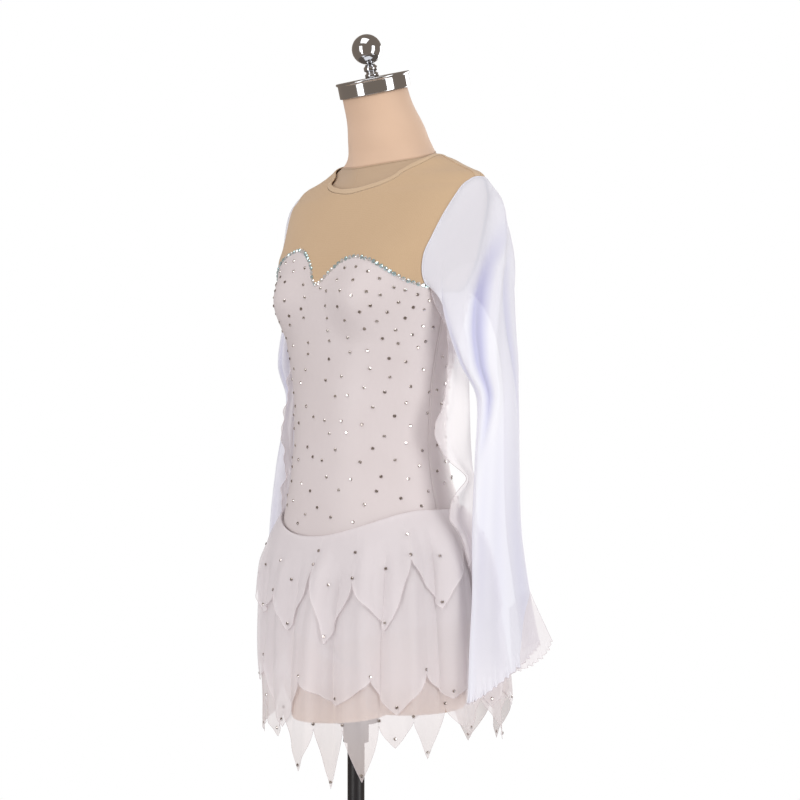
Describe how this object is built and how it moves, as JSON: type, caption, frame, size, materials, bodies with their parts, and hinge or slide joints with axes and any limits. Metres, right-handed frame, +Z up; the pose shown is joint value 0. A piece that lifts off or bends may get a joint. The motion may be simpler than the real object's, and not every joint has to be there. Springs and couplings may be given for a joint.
{
  "type": "rhythmic gymnastics dress on a limbless dress form with stand",
  "caption": "Long-sleeved gymnastics dress with a sweetheart bodice, skin-toned yoke, wide open sleeves and a layered leaf-hem skirt, worn by a limbless dress form on a pole stand.",
  "frame": {"origin": "centre of the base plate's underside, on the floor", "axes": "+Z up, the dress faces -Y, the wearer's left is +X; the form's neck top is at the top of the pole side's axis plane, above the plate's middle"},
  "size_m": [0.4572, 0.4006, 1.5771],
  "materials": {
    "form_cover": "smooth skin-coloured stretch cover",
    "chrome": "polished",
    "black_paint": "semi-gloss powder coat",
    "white_lycra": "satin-faced white stretch lycra",
    "skin_mesh": "matt skin-toned power mesh",
    "white_chiffon": "sheer white chiffon"
  },
  "bodies": {
    "root": {"form_body": "form_cover", "form_neck": "form_cover", "neck_cap": "chrome", "finial_stem": "chrome", "finial_ball": "chrome", "stand_socket": "black_paint", "stand_pole": "black_paint", "stand_collar": "black_paint", "stand_base": "black_paint", "bodice_front": "white_lycra", "bodice_back": "white_lycra", "brief_front": "white_lycra", "brief_back": "white_lycra", "brief_gusset": "white_lycra", "yoke_front": "skin_mesh", "yoke_back": "skin_mesh", "neck_binding": "skin_mesh", "skirt_lower_front": "white_chiffon", "skirt_lower_back": "white_chiffon", "skirt_middle_front": "white_chiffon", "skirt_middle_back": "white_chiffon", "skirt_upper_front": "white_chiffon", "skirt_upper_back": "white_chiffon", "sleeve_left": "white_chiffon", "sleeve_right": "white_chiffon", "sleeve_flounce_left": "white_chiffon", "sleeve_flounce_right": "white_chiffon"}
  },
  "joints": []
}
